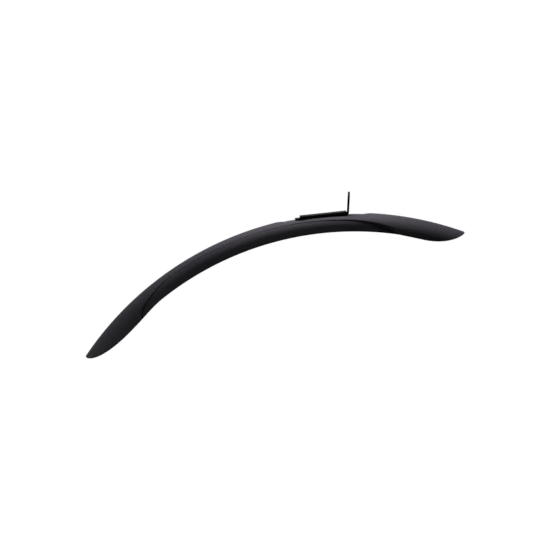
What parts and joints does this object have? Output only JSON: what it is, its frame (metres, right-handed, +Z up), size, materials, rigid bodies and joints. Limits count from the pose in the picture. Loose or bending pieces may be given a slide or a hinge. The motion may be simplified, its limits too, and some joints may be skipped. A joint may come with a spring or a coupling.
{
  "type": "bicycle mudguard",
  "caption": "Short front bicycle mudguard: an arched blade with a raised centre band, stepped flanks and rounded ends, held at the fork crown by a bent strip bracket with a clamp bar.",
  "frame": {"origin": "centre of the bolt hole in the bracket's upright, in the middle of the strip", "axes": "+X forward along the crown bolt, +Y to the rider's left, +Z up along the bracket's upright"},
  "size_m": [0.4187, 0.0494, 0.2006],
  "materials": {
    "blade": "moulded polypropylene, black, fine satin texture",
    "bracket": "steel strip, black powder coat",
    "fasteners": "zinc-plated steel"
  },
  "bodies": {
    "root": {"blade": "blade", "bracket": "bracket", "clamp_bar": "bracket", "clamp_screws": "fasteners", "clamp_washers": "fasteners"}
  },
  "joints": []
}
